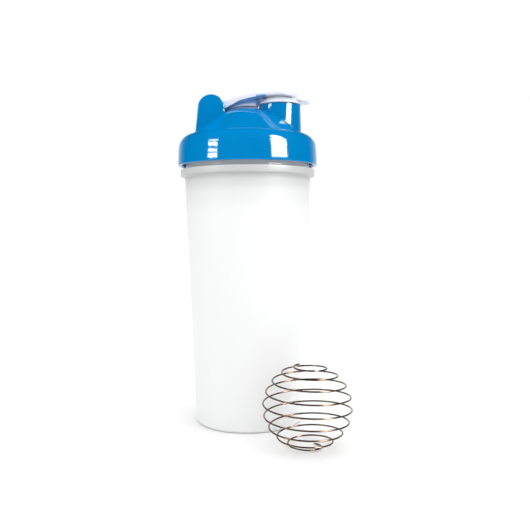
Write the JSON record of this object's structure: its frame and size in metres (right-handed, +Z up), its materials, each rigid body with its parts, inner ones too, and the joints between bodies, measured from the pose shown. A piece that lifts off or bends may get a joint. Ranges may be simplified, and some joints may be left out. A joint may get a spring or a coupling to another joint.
{
  "type": "protein shaker bottle",
  "caption": "Protein shaker: frosted tapered cup, blue screw lid with pouring spout, white flip cap hinged between two ears, and a loose coiled wire whisk ball beside it.",
  "frame": {"origin": "on the bottle's axis, on the flat of the base that it stands on", "axes": "+Z up along the bottle's axis, +X towards the spout, -X towards the ears and the cap's hinge"},
  "size_m": [0.1118, 0.1384, 0.2242],
  "materials": {
    "frosted_plastic": "translucent white polypropylene with a fine satin frost",
    "lid_plastic": "glossy moulded blue",
    "seal_rubber": "soft translucent silicone",
    "cap_plastic": "glossy moulded white",
    "plug_rubber": "soft off-white elastomer",
    "ball_steel": "polished stainless steel wire"
  },
  "bodies": {
    "cup": {"cup": "frosted_plastic"},
    "seal": {"lid_seal_ring": "seal_rubber"},
    "lid": {"lid": "lid_plastic"},
    "cap": {"flip_cap": "cap_plastic", "spout_plug": "plug_rubber"},
    "whisk_ball": {"whisk_ball": "ball_steel"}
  },
  "joints": [
    {"name": "lid_lift", "type": "slide", "parent": "cup", "child": "seal", "axis": [0, 0, 1], "range_m": [0, 0.0141]},
    {"name": "lid_turn", "type": "hinge", "parent": "seal", "child": "lid", "pos_m": [0, 0, 0.18], "axis": [0, 0, 1], "range_deg": [0, 720]},
    {"name": "cap_hinge", "type": "hinge", "parent": "lid", "child": "cap", "pos_m": [-0.0239, 0, 0.2141], "axis": [0, -1, 0], "range_deg": [0, 125]},
    {"name": "whisk_ball_lift", "type": "slide", "parent": "cup", "child": "whisk_ball", "axis": [0, 0, 1], "range_m": [0, 0.1]}
  ],
  "couplings": [
    {"joint": "lid_lift", "follows": "lid_turn", "m_per_rad": 0.0011141}
  ]
}
